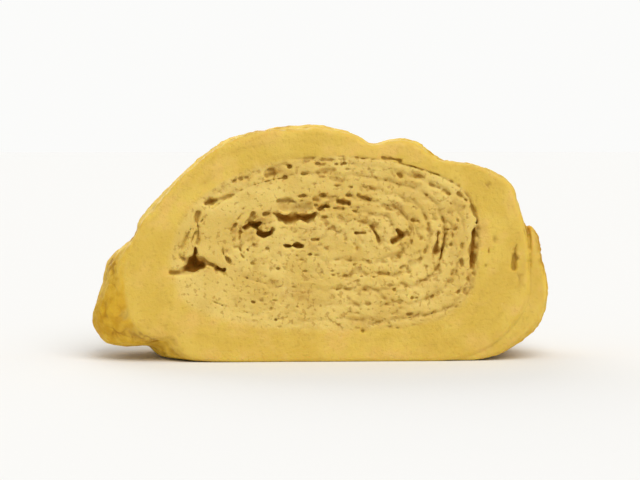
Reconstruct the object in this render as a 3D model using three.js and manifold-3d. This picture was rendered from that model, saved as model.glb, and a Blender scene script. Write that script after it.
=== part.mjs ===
// One thick slice of a rolled omelette, standing on its long side.
// A sheet of cooked egg is rolled up, pressed into a flat oval and cut across. Both cut faces show
// the spiral of the layers, and the rim between them is the fried outside of the roll. The sheet's
// free end is a loose flap up the right side.
// Millimetres, +Z up. The roll's axis is Y, and the face at -Y is the one meant to be seen.
// The origin is the bottom centre of the slice's box, in the flat spot that it stands on.
import * as THREE from "three";
import { mergeVertices } from "three/addons/utils/BufferGeometryUtils.js";
import Module from "manifold-3d";

// ---- driving dimensions -------------------------------------------------------------------
const THICKNESS = 18; // from cut to cut, at the middle
const WEDGE = 0.02; // how much the back cut leans, in millimetres per millimetre of width
const EDGE_ROUND = 0.5; // the soft corner between a cut face and the rim
const SHEET = 2.2; // one layer of egg

// Two rings of the roll, as [x, z] points anticlockwise from the right, and z = 0 is the table.
// Points with the same number lie on one line out from the middle. The rim dips below the table
// because the roll's own weight has pressed it flat there.
const RIM = [
  [25.8, 12.5], [24.6, 18.6], [20.6, 23.8], [10.3, 27.6],
  [0, 29.5], [-9, 28.7], [-15.8, 25.2], [-21.2, 19.8],
  [-24.9, 14.2], [-25.1, 8.2], [-22.9, 3.4], [-14, -0.2],
  [0, -1.1], [12, -0.9], [20.5, 1.6], [25.2, 6.6],
];
// Outside this ring the layers have set together in one smooth band.
const BAND = [
  [18.9, 13], [18.9, 18], [16.2, 22.3], [8.5, 25],
  [0, 25.6], [-7, 24.7], [-12.4, 22.6], [-16.6, 19.4],
  [-18.9, 14.6], [-18.6, 10], [-16, 6.8], [-9, 4.8],
  [0, 4.3], [9, 4.6], [15, 6], [18, 9],
];
// In the middle the sheet is folded over flat, so the rings close on a short level line.
const CORE = { z: 16.8, half: 5.5 };

// Along the spiral a place is a number of turns, anticlockwise, from the right of the core. Its
// share is 0 at the core, BAND_SHARE at the band and 1 at the rim.
const BAND_SHARE = 0.52;
const FIRST_SHARE = 0.04;
const SHARE_PER_TURN = 0.16;
const GROOVE = { from: 0.12, to: 5.08, wide: 0.5, deep: 0.7 };

// Where the layers have come apart: the turns, and how much wider and deeper the groove is there.
const FRONT_OPENINGS = [
  { from: 0.25, to: 0.37, wide: 1.2, deep: 2.6 },
  { from: 0.45, to: 0.51, wide: 0.6, deep: 1.4 },
  { from: 0.97, to: 1.03, wide: 0.5, deep: 1.4 },
  { from: 1.98, to: 2.03, wide: 0.4, deep: 1.6 },
  { from: 2.28, to: 2.48, wide: 0.2, deep: 0.8 },
  { from: 2.94, to: 3.04, wide: 0.5, deep: 2.8 },
];
const BACK_OPENINGS = [
  { from: 0.1, to: 0.22, wide: 0.8, deep: 1.8 },
  { from: 1.5, to: 1.58, wide: 0.5, deep: 1.6 },
  { from: 2.44, to: 2.58, wide: 0.5, deep: 2.4 },
  { from: 2.86, to: 2.98, wide: 0.4, deep: 2.0 },
];
const FADE = 0.025; // turns over which an opening closes at each end

// The three-cornered hole where a fold begins, on the front at this place of the spiral.
const HOLE = { turn: 2.535, across: 4.2, deep: 3.6, lean: 20 };

// Creases that run over the rim from cut to cut, or where deep is below 0 a ridge. at and drift are
// parts of a turn.
const CREASES = [
  { at: 0.1, deep: -0.75, wide: 0.03, drift: -0.004 },
  { at: 0.154, deep: 0.9, wide: 0.015, drift: -0.005 },
  { at: 0.181, deep: -0.2, wide: 0.012, drift: -0.005 },
  { at: 0.208, deep: 1.2, wide: 0.012, drift: -0.004 },
  { at: 0.226, deep: 0.45, wide: 0.016, drift: -0.003 },
  { at: 0.3, deep: 0.3, wide: 0.02, drift: 0.02 },
  { at: 0.455, deep: -0.15, wide: 0.03, drift: -0.01 },
  { at: 0.637, deep: 1.5, wide: 0.012, drift: -0.008 },
];
// Where the rim is fuller between the cuts, or where high is below 0 hollower. The first three are
// the thick fold low on the left and the step at its top.
const BULGES = [
  { at: 0.592, high: 4.9, wide: 0.064 },
  { at: 0.518, high: 0.9, wide: 0.018 },
  { at: 0.486, high: -0.8, wide: 0.012 },
  { at: 0.97, high: 1.2, wide: 0.09 },
  { at: 0.3, high: 0.2, wide: 0.14 },
];
const BULGE_POWER = 4; // how squarely a bulge fills the width of the rim
// The sheet's free end, from where it leaves the rim to its tip. It has its full thickness by the
// share of its length called full, then thins out by taper, stands off the rim after loose, and
// its last part is a round tip. Its front edge drifts back from the cut by setBack on the way.
const FLAP = {
  from: 0.79,
  to: 1.045,
  full: 0.55,
  loose: 0.75,
  tip: 0.1,
  gap: 0.15,
  sunk: 0.7,
  taper: 1.3,
  setBack: 0.2,
};

// How finely the round shapes are cut into facets.
const ROUND_STEPS = 96;
const RIM_ROWS = 7;
const TURN_STEPS = 42;
const FLAP_STEPS = 20;

// ---- places in the roll -------------------------------------------------------------------
const closedCurve = (ring) =>
  new THREE.CatmullRomCurve3(ring.map(([x, z]) => new THREE.Vector3(x, 0, z)), true, "catmullrom");
const rimCurve = closedCurve(RIM);
const bandCurve = closedCurve(BAND);
const whole = (turn) => turn - Math.floor(turn);

// The signed distance in turns from one place round the roll to another, from -0.5 to 0.5.
const apart = (a, b) => whole(a - b + 0.5) - 0.5;

const bell = (distance, wide) => Math.exp(-((distance / wide) ** 2));

const coreAt = (turn) => new THREE.Vector3(CORE.half * Math.cos(2 * Math.PI * turn), 0, CORE.z);

// The point of a cut face at this share of the way out.
function onFace(share, turn) {
  const band = bandCurve.getPoint(whole(turn));
  if (share < BAND_SHARE) return coreAt(turn).lerp(band, share / BAND_SHARE);
  return band.lerp(rimCurve.getPoint(whole(turn)), (share - BAND_SHARE) / (1 - BAND_SHARE));
}

const onSpiral = (turn) => onFace(FIRST_SHARE + SHARE_PER_TURN * turn, turn);

// The way square to a line of points, at one of them, to the right of its direction.
function squareTo(before, after) {
  const along = after.clone().sub(before).normalize();
  return new THREE.Vector3(along.z, 0, -along.x);
}

// The rim's point and its way out. along runs from -1 at the front cut to 1 at the back.
function onRim(turn, along) {
  const step = 0.004;
  const point = rimCurve.getPoint(whole(turn));
  const out = squareTo(rimCurve.getPoint(whole(turn - step)), rimCurve.getPoint(whole(turn + step)));
  const belly = 1 - Math.abs(along) ** BULGE_POWER;
  let lift = 0;
  for (const c of CREASES) lift -= c.deep * bell(apart(turn, c.at + c.drift * along), c.wide);
  for (const b of BULGES) lift += b.high * bell(apart(turn, b.at), b.wide) * belly;
  return { point: point.addScaledVector(out, lift), out };
}

// Y of a cut at this place across the width. side is -1 for the front and 1 for the back.
const cutAt = (side, x) => side * (THICKNESS / 2) + (side > 0 ? WEDGE * x : 0);

// ---- closed surfaces from rows of points --------------------------------------------------
// Rows of the same number of points become one closed surface, with a flat cap at each end.
function closedLoft(rows) {
  const count = rows[0].length;
  const points = rows.flat();
  const faces = [];
  for (let row = 0; row + 1 < rows.length; row++) {
    for (let i = 0; i < count; i++) {
      const a = row * count + i;
      const b = row * count + ((i + 1) % count);
      faces.push(a, b, a + count, b, b + count, a + count);
    }
  }
  for (const [start, isLast] of [[0, false], [(rows.length - 1) * count, true]]) {
    const middle = new THREE.Vector3();
    for (let i = 0; i < count; i++) middle.addScaledVector(points[start + i], 1 / count);
    const centre = points.push(middle) - 1;
    for (let i = 0; i < count; i++) {
      const a = start + i;
      const b = start + ((i + 1) % count);
      faces.push(...(isLast ? [centre, a, b] : [centre, b, a]));
    }
  }
  return meshOf(points.flatMap((p) => [p.x, p.y, p.z]), faces);
}

function meshOf(numbers, faces) {
  const geometry = new THREE.BufferGeometry();
  geometry.setAttribute("position", new THREE.Float32BufferAttribute(numbers, 3));
  geometry.setIndex(faces);
  return geometry;
}

// ---- the roll, its flap and what is cut from it -------------------------------------------
function roll() {
  const edge = 1 - (2 * EDGE_ROUND) / THICKNESS;
  const rows = [{ along: -1, inset: EDGE_ROUND }];
  for (let i = 0; i <= RIM_ROWS; i++) {
    rows.push({ along: THREE.MathUtils.lerp(-edge, edge, i / RIM_ROWS), inset: 0 });
  }
  rows.push({ along: 1, inset: EDGE_ROUND });
  return closedLoft(
    rows.map(({ along, inset }) =>
      Array.from({ length: ROUND_STEPS }, (_, i) => {
        const { point, out } = onRim(i / ROUND_STEPS, along);
        point.addScaledVector(out, -inset);
        point.y = Math.abs(along) * cutAt(Math.sign(along), point.x);
        return point;
      }),
    ),
  );
}

// The flap is a strip that thickens as it leaves the rim and stands off it towards the tip.
function flap() {
  const { lerp, smoothstep } = THREE.MathUtils;
  const section = [[-1, 0.1], [-0.6, 0], [0.6, 0], [1, 0.1], [1, 0.9], [0.6, 1], [-0.6, 1], [-1, 0.9]];
  const rows = [];
  for (let i = 0; i <= FLAP_STEPS; i++) {
    const way = i / FLAP_STEPS;
    const loose = smoothstep(way, FLAP.loose, 1);
    const inner = lerp(-FLAP.sunk, FLAP.gap, loose);
    const thickened = lerp(-FLAP.sunk / 2, SHEET, smoothstep(way, 0, FLAP.full));
    const outer = thickened + FLAP.gap * loose - FLAP.taper * smoothstep(way, FLAP.full, 1);
    const intoTip = Math.max((way - 1 + FLAP.tip) / FLAP.tip, 0);
    const round = Math.sqrt(1 - 0.95 * intoTip * intoTip);
    const half = (round * (outer - inner)) / 2;
    const narrowed = SHEET * (1 - round);
    const front = -THICKNESS / 2 + EDGE_ROUND + FLAP.setBack * way + narrowed;
    const back = THICKNESS / 2 - EDGE_ROUND - narrowed;
    rows.push(
      section.map(([across, deep]) => {
        const y = lerp(front, back, deep);
        const { point, out } = onRim(lerp(FLAP.from, FLAP.to, way), y / (THICKNESS / 2));
        return point.addScaledVector(out, (inner + outer) / 2 + half * across).setY(y);
      }),
    );
  }
  return closedLoft(rows);
}

// How far the groove has opened at a place of the spiral, from the list of openings.
function opened(openings, turn, key) {
  let most = 0;
  for (const o of openings) {
    const inside = Math.min(turn - o.from, o.to - turn) / FADE;
    most = Math.max(most, o[key] * THREE.MathUtils.clamp(inside, 0, 1));
  }
  return most;
}

// The V groove where the layers meet on one cut face, as a closed solid.
function groove(side, openings) {
  const proud = 0.5; // above the face, so that the cut is clean
  const steps = Math.round((GROOVE.to - GROOVE.from) * TURN_STEPS);
  const rows = [];
  for (let i = 0; i <= steps; i++) {
    const turn = THREE.MathUtils.lerp(GROOVE.from, GROOVE.to, i / steps);
    const point = onSpiral(turn);
    const across = squareTo(onSpiral(turn - 0.5 / TURN_STEPS), onSpiral(turn + 0.5 / TURN_STEPS));
    const wide = GROOVE.wide + opened(openings, turn, "wide");
    const deep = GROOVE.deep + opened(openings, turn, "deep");
    const half = (wide / 2) * (1 + proud / deep);
    const face = cutAt(side, point.x);
    rows.push([
      point.clone().addScaledVector(across, -half).setY(face + side * proud),
      point.clone().addScaledVector(across, half).setY(face + side * proud),
      point.clone().setY(face - side * deep),
    ]);
  }
  return closedLoft(rows);
}

function threeCorneredHole() {
  const proud = 0.5;
  const height = HOLE.deep + proud;
  const cone = new THREE.ConeGeometry((HOLE.across / Math.sqrt(3)) * (1 + proud / HOLE.deep), height, 3);
  cone.rotateY(THREE.MathUtils.degToRad(HOLE.lean));
  cone.translate(0, -height / 2 + HOLE.deep, 0); // the wide end is now proud of the face
  const at = onSpiral(HOLE.turn);
  cone.translate(at.x, cutAt(-1, at.x), at.z);
  return cone;
}

// ---- joining and cutting ------------------------------------------------------------------
const wasm = await Module();
wasm.setup();

// A closed geometry as a solid, turned to face out whichever way its triangles ran.
function solid(geometry) {
  const bare = geometry.index ? geometry.toNonIndexed() : geometry.clone();
  bare.deleteAttribute("normal");
  bare.deleteAttribute("uv");
  const merged = mergeVertices(bare, 1e-4);
  const build = (indices) =>
    new wasm.Manifold(
      new wasm.Mesh({
        numProp: 3,
        vertProperties: merged.attributes.position.array,
        triVerts: new Uint32Array(indices),
      }),
    );
  const made = build(merged.index.array);
  return made.volume() > 0 ? made : build([...merged.index.array].reverse());
}

function omeletteSlice() {
  const room = 100;
  const aboveTheTable = new THREE.BoxGeometry(room, room, room);
  aboveTheTable.translate(0, 0, room / 2);
  const slice = solid(roll())
    .add(solid(flap()))
    .intersect(solid(aboveTheTable))
    .subtract(solid(groove(-1, FRONT_OPENINGS)))
    .subtract(solid(groove(1, BACK_OPENINGS)))
    .subtract(solid(threeCorneredHole()));
  const mesh = slice.getMesh();
  const geometry = meshOf([...mesh.vertProperties], [...mesh.triVerts]);
  geometry.computeVertexNormals();
  geometry.computeBoundingBox();
  const { min, max } = geometry.boundingBox;
  return geometry.translate(-(min.x + max.x) / 2, -(min.y + max.y) / 2, -min.z);
}

// ---- the part -----------------------------------------------------------------------------
const egg = new THREE.MeshStandardMaterial({ color: 0xe0bd55, roughness: 0.5, metalness: 0 });

const slice = new THREE.Mesh(omeletteSlice(), egg);
slice.name = "omelette_slice";

const part = new THREE.Group();
part.add(slice);
export default part;
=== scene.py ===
"""One thick slice of a rolled omelette, standing on its long side in a plain pale studio.

The slice is first a field on a fine grid: negative inside the egg and positive outside it, in
millimetres. The roll, its loose flap, the gaps between its layers, its holes and its pores are
each a part of that field, and its zero surface becomes the mesh, which takes the place of the
plain CAD solid. The material follows where a point lies in the roll, through values stored on the
mesh.
"""
import math

import bpy
import numpy as np
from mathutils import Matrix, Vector
from mathutils.kdtree import KDTree


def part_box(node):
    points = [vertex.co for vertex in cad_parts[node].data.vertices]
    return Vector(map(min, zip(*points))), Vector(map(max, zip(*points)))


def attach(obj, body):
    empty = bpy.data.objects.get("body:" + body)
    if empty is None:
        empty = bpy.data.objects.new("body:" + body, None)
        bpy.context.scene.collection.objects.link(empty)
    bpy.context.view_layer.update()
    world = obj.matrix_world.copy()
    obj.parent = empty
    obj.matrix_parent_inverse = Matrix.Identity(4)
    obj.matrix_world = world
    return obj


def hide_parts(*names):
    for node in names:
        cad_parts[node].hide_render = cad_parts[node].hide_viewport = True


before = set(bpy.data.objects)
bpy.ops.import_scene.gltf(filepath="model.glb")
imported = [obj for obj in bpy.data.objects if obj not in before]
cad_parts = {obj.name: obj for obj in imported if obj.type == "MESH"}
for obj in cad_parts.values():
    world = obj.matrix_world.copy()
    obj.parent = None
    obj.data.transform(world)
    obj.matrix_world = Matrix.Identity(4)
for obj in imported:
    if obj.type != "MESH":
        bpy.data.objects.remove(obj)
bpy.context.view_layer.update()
NODE = "omelette_slice"
PIECE = "omelette_slice_egg"
MM = 0.001

# ---- the roll, in millimetres, with the same sizes and rings as the CAD part -----------------
THICKNESS = 18.0
FRONT_CUT = -THICKNESS / 2
WEDGE = 0.02
SHEET = 2.2

# Rings of the roll as [x, z] points, anticlockwise from the right.
RIM = [
    [25.8, 12.5], [24.6, 18.6], [20.6, 23.8], [10.3, 27.6],
    [0, 29.5], [-9, 28.7], [-15.8, 25.2], [-21.2, 19.8],
    [-24.9, 14.2], [-25.1, 8.2], [-22.9, 3.4], [-14, -0.2],
    [0, -1.1], [12, -0.9], [20.5, 1.6], [25.2, 6.6],
]
BAND = [
    [18.9, 13], [18.9, 18], [16.2, 22.3], [8.5, 25],
    [0, 25.6], [-7, 24.7], [-12.4, 22.6], [-16.6, 19.4],
    [-18.9, 14.6], [-18.6, 10], [-16, 6.8], [-9, 4.8],
    [0, 4.3], [9, 4.6], [15, 6], [18, 9],
]
CORE_Z = 16.8
CORE_HALF = 5.5

# Along the spiral a place is a number of turns from the right of the core. Its share is 0 at the
# core, BAND_SHARE at the band and 1 at the rim.
BAND_SHARE = 0.52
FIRST_SHARE = 0.04
SHARE_PER_TURN = 0.16

# Creases over the rim from cut to cut, or ridges where deep is below 0, and the places where the
# rim is fuller between the cuts. at and drift are parts of a turn.
CREASES = [
    {"at": 0.1, "deep": -0.75, "wide": 0.03, "drift": -0.004},
    {"at": 0.154, "deep": 0.9, "wide": 0.015, "drift": -0.005},
    {"at": 0.181, "deep": -0.2, "wide": 0.012, "drift": -0.005},
    {"at": 0.208, "deep": 1.2, "wide": 0.012, "drift": -0.004},
    {"at": 0.226, "deep": 0.45, "wide": 0.016, "drift": -0.003},
    {"at": 0.3, "deep": 0.3, "wide": 0.02, "drift": 0.02},
    {"at": 0.455, "deep": -0.15, "wide": 0.03, "drift": -0.01},
    {"at": 0.637, "deep": 1.5, "wide": 0.012, "drift": -0.008},
]
BULGES = [
    {"at": 0.592, "high": 4.9, "wide": 0.064},
    {"at": 0.518, "high": 0.9, "wide": 0.018},
    {"at": 0.486, "high": -0.8, "wide": 0.012},
    {"at": 0.97, "high": 1.2, "wide": 0.09},
    {"at": 0.3, "high": 0.2, "wide": 0.14},
]
BULGE_POWER = 4

# The sheet's free end, a flap on the right. from and to are turns. full and loose are shares of the
# way along it, where it has its full thickness and where it starts to stand off the rim. The rest
# are millimetres: gap is how far its end stands off, sunk how deep its start lies in the roll and
# taper how much thinner it gets. front, back and set_back are how far its sides lie inside the
# cuts, the last one only towards its end.
FLAP = {
    "from": 0.79,
    "to": 1.045,
    "full": 0.55,
    "loose": 0.75,
    "gap": 0.15,
    "sunk": 0.7,
    "taper": 1.3,
    "front": 0.1,
    "back": 0.4,
    "set_back": 0.2,
}
FLAP_LENGTH = 36.0
# The way along the flap is counted from this many turns before its start.
FLAP_LEAD = 0.3

# ---- what only the fine model has ------------------------------------------------------------
# Gaps between layers near a cut: the turns, and the width and depth of the gap.
FRONT_GAPS = [
    {"from": 1.95, "to": 2.03, "wide": 0.25, "deep": 1.2},
    {"from": 2.3, "to": 2.52, "wide": 0.1, "deep": 0.6},
    {"from": 3.03, "to": 3.1, "wide": 0.08, "deep": 0.5},
]
BACK_GAPS = [
    {"from": 0.1, "to": 0.22, "wide": 0.8, "deep": 2.0},
    {"from": 1.5, "to": 1.58, "wide": 0.4, "deep": 1.6},
    {"from": 2.44, "to": 2.62, "wide": 0.6, "deep": 2.6},
    {"from": 2.86, "to": 2.98, "wide": 0.4, "deep": 2.0},
]
GAP_FADE = 0.02
# How firmly a gap closes below its depth.
GAP_CLOSED = 0.3

# Holes that go in from a cut. Each is its depth, and its line over the cut as [x, z, radius]. The
# field round a hole is worked out this much wider, and this many times its depth.
HOLE_MARGIN = 0.6
HOLE_REACH = 1.5
FRONT_HOLES = [
    # the long cavity in the core and its rough upper lip
    (1.5, [[-6.5, 18.7, 0.25], [-5.6, 18.2, 0.6], [-4.5, 17.95, 0.66], [-3.4, 18.3, 0.5]]),
    (1.5, [[-3.4, 18.3, 0.45], [-2.4, 18.1, 0.55], [-1.3, 18.6, 0.36]]),
    (0.5, [[-5.2, 19.4, 0.6], [-2.0, 19.4, 0.55]]),
    # thin slits above the cavity and spots to the right of it
    (0.6, [[-6.0, 20.2, 0.15], [-4.6, 20.3, 0.22], [-3.6, 20.1, 0.18], [-2.9, 20.3, 0.18]]),
    (0.6, [[-1.5, 20.3, 0.18], [-1.0, 20.4, 0.16]]),
    (1.2, [[-0.7, 19.2, 0.3], [0.0, 19.6, 0.42]]),
    (0.9, [[1.6, 20.2, 0.25], [2.9, 19.9, 0.3]]),
    # the three-cornered hole where a fold begins, its shallow arms, and the soft lines up from it
    (3.0, [[-16.3, 14.6, 0.18], [-16.4, 13.3, 0.4], [-16.5, 12.4, 0.75]]),
    (2.6, [[-17.5, 11.7, 0.35], [-16.6, 11.9, 0.6], [-15.5, 12.2, 0.45]]),
    (1.0, [[-16.0, 12.9, 0.55], [-14.6, 12.5, 0.32], [-13.6, 11.9, 0.18]]),
    (1.4, [[-13.5, 11.8, 0.24], [-12.7, 11.5, 0.34]]),
    (0.9, [[-17.2, 11.6, 0.5], [-18.4, 11.3, 0.3], [-19.3, 11.3, 0.28]]),
    (0.8, [[-18.1, 13.2, 0.2], [-17.0, 12.6, 0.4]]),
    (0.4, [[-16.9, 16.8, 0.1], [-17.7, 15.2, 0.16], [-18.3, 13.4, 0.2]]),
    (0.5, [[-16.1, 14.6, 0.15], [-15.9, 16.6, 0.12], [-16.2, 17.9, 0.26], [-15.8, 18.8, 0.2]]),
    # spots at the upper left, where the crumb meets the band
    (1.1, [[-15.0, 20.0, 0.2], [-14.3, 20.2, 0.42], [-13.7, 20.4, 0.2]]),
    (0.4, [[-13.3, 20.5, 0.16], [-11.9, 20.9, 0.14]]),
    (0.8, [[-7.3, 23.5, 0.3], [-6.4, 23.7, 0.36]]),
    # round holes and short slits in the core
    (1.8, [[-10.1, 16.9, 0.25], [-9.4, 17.3, 0.4], [-8.7, 17.2, 0.5], [-8.2, 17.5, 0.2]]),
    (1.7, [[-8.6, 16.2, 0.25], [-7.8, 16.0, 0.5], [-7.0, 16.2, 0.36], [-6.7, 16.6, 0.15]]),
    (0.9, [[-8.9, 17.0, 0.2], [-8.1, 16.4, 0.25]]),
    (0.6, [[-9.5, 17.9, 0.2], [-9.1, 18.7, 0.2]]),
    (1.2, [[-5.3, 14.7, 0.1], [-4.5, 14.6, 0.26], [-3.6, 14.7, 0.4], [-2.9, 14.6, 0.2]]),
    (0.6, [[-1.7, 15.4, 0.16], [-0.9, 15.4, 0.2]]),
    (0.8, [[3.8, 16.2, 0.22], [4.6, 16.2, 0.34]]),
    (1.1, [[5.8, 17.1, 0.2], [6.3, 16.2, 0.34], [6.9, 15.1, 0.26]]),
    (1.3, [[9.0, 16.6, 0.25], [9.6, 15.8, 0.5], [8.4, 15.0, 0.36]]),
    (0.8, [[10.8, 17.8, 0.24], [11.6, 17.7, 0.28]]),
    (1.1, [[14.2, 16.4, 0.1], [14.1, 15.2, 0.18], [14.0, 14.1, 0.44], [13.8, 13.6, 0.26]]),
    (0.6, [[15.0, 16.7, 0.15], [16.3, 16.6, 0.24]]),
    (0.5, [[16.0, 16.0, 0.14], [15.8, 14.8, 0.18]]),
    # the long slit where the porous crumb has come away from the band
    (
        1.3,
        [[18.9, 17.4, 0.12], [18.75, 16.2, 0.28], [18.55, 14.4, 0.38], [18.5, 12.7, 0.4], [18.4, 11.9, 0.2]],
    ),
    # two short dark spots in the porous crumb
    (0.8, [[4.2, 20.9, 0.26], [5.0, 20.6, 0.42], [5.6, 20.3, 0.3]]),
    (0.5, [[13.5, 18.5, 0.3], [13.8, 18.0, 0.25]]),
    # dark dots and dashes where the porous crumb meets the smooth band
    (0.7, [[7.2, 25.6, 0.15], [8.4, 25.5, 0.3], [9.4, 25.3, 0.18]]),
    (0.7, [[9.0, 23.6, 0.25], [9.4, 23.4, 0.22]]),
    (0.7, [[11.4, 23.4, 0.28], [12.2, 23.2, 0.22]]),
    (0.6, [[13.2, 22.3, 0.22], [14.4, 21.8, 0.26]]),
    (0.6, [[14.9, 21.6, 0.3], [15.6, 21.1, 0.26]]),
    (0.5, [[16.7, 21.1, 0.2], [17.8, 20.3, 0.22]]),
    (0.5, [[18.4, 19.6, 0.22], [18.8, 18.4, 0.2]]),
    # the slit beside the loose end of the sheet
    (0.6, [[24.1, 15.4, 0.08], [23.95, 14.2, 0.2], [23.85, 12.9, 0.28], [23.8, 11.6, 0.2]]),
]
BACK_HOLES = [
    (2.2, [[1.5, 19.6, 0.3], [4.0, 19.9, 0.7], [6.5, 19.2, 0.3]]),
    (0.6, [[2.0, 20.8, 0.5], [5.4, 20.9, 0.6]]),
    (1.8, [[-14.2, 11.2, 0.3], [-15.8, 9.6, 0.7], [-15.2, 7.8, 0.2]]),
    (1.2, [[12.2, 15.4, 0.4], [12.9, 14.2, 0.3]]),
    (1.1, [[-6.4, 16.1, 0.35], [-5.6, 15.4, 0.3]]),
    (0.9, [[8.6, 12.2, 0.2], [10.4, 12.6, 0.3]]),
    (1.2, [[-3.2, 13.2, 0.3], [-2.4, 13.0, 0.4]]),
    (0.8, [[-10.8, 20.6, 0.3], [-9.8, 21.2, 0.25]]),
    (0.8, [[15.9, 20.4, 0.3], [16.8, 19.5, 0.25]]),
    (1.0, [[0.2, 8.3, 0.2], [1.6, 8.2, 0.3]]),
]

# Brown fuzzy smudges of coarse crumb as [x, z, half width, half height].
FRONT_SMUDGES = [
    [-6.8, 23.8, 1.7, 1.0], [-4.6, 25.0, 1.6, 0.3], [-0.2, 23.3, 1.2, 0.5], [1.4, 22.6, 0.9, 0.5],
    [-3.7, 19.6, 2.8, 0.8], [-11.6, 17.3, 0.5, 0.5], [-11.4, 15.6, 0.6, 0.4], [-10.4, 19.1, 0.4, 0.5],
    [-8.6, 14.8, 0.6, 0.4], [-1.6, 16.7, 0.7, 0.35], [-0.8, 15.6, 1.1, 0.35], [2.4, 17.7, 1.0, 0.5],
    [3.8, 19.3, 0.9, 0.4], [6.4, 19.3, 0.8, 0.5], [7.5, 18.6, 0.6, 0.5], [9.3, 19.1, 0.6, 0.5],
    [8.2, 20.9, 0.8, 0.4], [10.6, 21.1, 1.6, 0.5], [11.7, 20.2, 0.7, 0.5], [7.0, 15.0, 0.7, 0.5],
    [13.6, 18.3, 0.5, 0.7], [15.6, 18.6, 0.4, 0.9],
    [20.4, 22.2, 0.5, 0.4], [21.3, 15.3, 0.3, 0.5], [23.9, 13.4, 0.4, 1.6], [-16.0, 17.4, 0.5, 2.2],
    [9.2, 15.8, 0.9, 0.9], [-0.5, 25.5, 4.5, 0.3], [3.6, 17.0, 1.2, 0.6], [0.4, 17.0, 0.9, 0.5],
    [-8.4, 16.9, 1.6, 1.1], [-16.6, 12.2, 1.8, 1.1], [-3.0, 16.2, 1.4, 0.4], [1.6, 15.8, 1.5, 0.5],
    [4.2, 15.6, 1.0, 0.4], [20.2, 12.3, 0.35, 0.7], [20.5, 14.0, 0.25, 0.6], [24.4, 10.2, 0.35, 1.0],
]
BACK_SMUDGES = [
    [3.4, 20.4, 3.2, 0.9], [-5.6, 22.9, 2.0, 0.7], [12.4, 14.6, 0.9, 1.4], [-6.0, 15.8, 1.3, 0.8],
    [9.5, 20.9, 1.4, 0.6], [-2.6, 9.4, 1.8, 0.5], [14.6, 9.6, 0.8, 1.0], [-15.3, 9.4, 1.2, 1.6],
]

# Pores along the seams of each cut: how many are tried, over which turns, their least radius and
# how much more it can be, and how many times as deep as wide they are.
PORES_TRIED = 700
PORE_TURNS = (0.1, 3.25)
PORE_RADIUS = 0.08
PORE_RADIUS_MORE = 0.2
PORE_DEEPER = 1.8

# Heights of the relief of a cut face, and the weights of what makes its tone brown.
RELIEF = {"waves": 0.15, "pits": 0.26, "seams": 0.26, "band": 0.015, "crumb": 0.05}
TONE = {
    "mottle": 0.35,
    # the weight of pits paints shade into them
    "pits": 0.28,
    "seams": 0.33,
    "beside": 0.08,
    "smudge": 0.4,
    "streak": 0.25,
    "strands": 0.2,
}
FRONT_SEED = 50
BACK_SEED = 70

# How round the slice's edges are at the cuts and at the flat spot that it stands on.
CUT_EDGE = 0.7
FOOT_EDGE = 0.5

# The middle of the thick fold at the lower left and half its width, as parts of a turn.
FOLD_TURN = 0.575
FOLD_WIDE = 0.06
# Half the width of the flap's browned end, likewise.
FLAP_WIDE = 0.12

# How far the brown net is pressed into the skin, and how high its blisters are.
NET_DEEP = 0.16
BLISTERS_HIGH = 0.1

# The grid that the field is worked out on, and the most triangles of the mesh made from it.
VOXEL = 0.13
MOST_TRIANGLES = 190_000
PINCH_ROUNDS = 4
PINCH_FILL = 0.01
GRID_LOW = np.array([-30.6, -10.2, -0.6])
GRID_HIGH = np.array([30.8, 10.4, 31.2])
GRID_COUNT = np.ceil((GRID_HIGH - GRID_LOW) / VOXEL).astype(int)
GRID_X, GRID_Y, GRID_Z = (low + VOXEL * np.arange(n) for low, n in zip(GRID_LOW, GRID_COUNT))
CORNERS = [(i, j, k) for i in (0, 1) for j in (0, 1) for k in (0, 1)]


# ---- places in the roll ----------------------------------------------------------------------
def closed_curve(ring, turn):
    """The points at these turns of the smooth closed curve through a ring's points."""
    ring = np.asarray(ring, float)
    place = (turn % 1.0) * len(ring)
    i = np.floor(place).astype(int)
    f = (place - i)[..., None]
    a, b, c, d = (ring[(i + k) % len(ring)] for k in (-1, 0, 1, 2))
    bend = 2 * a - 5 * b + 4 * c - d
    twist = 3 * b - a - 3 * c + d
    return 0.5 * (2 * b + (c - a) * f + bend * f**2 + twist * f**3)


def on_face(share, turn):
    """The [x, z] point of a cut face at this share of the way out and this turn."""
    core = np.stack([CORE_HALF * np.cos(2 * np.pi * turn), np.full_like(turn, CORE_Z)], -1)
    band = closed_curve(BAND, turn)
    rim = closed_curve(RIM, turn)
    inner = core + (band - core) * (share / BAND_SHARE)[..., None]
    outer = band + (rim - band) * ((share - BAND_SHARE) / (1 - BAND_SHARE))[..., None]
    return np.where((share < BAND_SHARE)[..., None], inner, outer)


def known_places(shares=80, turns=240):
    """A lattice of shares and turns, and a tree of where they are, to start a search from."""
    lattice = np.meshgrid(np.linspace(0.02, 2.2, shares), np.arange(turns) / turns)
    share, turn = (a.ravel() for a in lattice)
    tree = KDTree(len(share))
    for i, (x, z) in enumerate(on_face(share, turn)):
        tree.insert((x, z, 0), i)
    tree.balance()
    return share, turn, tree


KNOWN = known_places()
NEWTON_ROUNDS = 7


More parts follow.
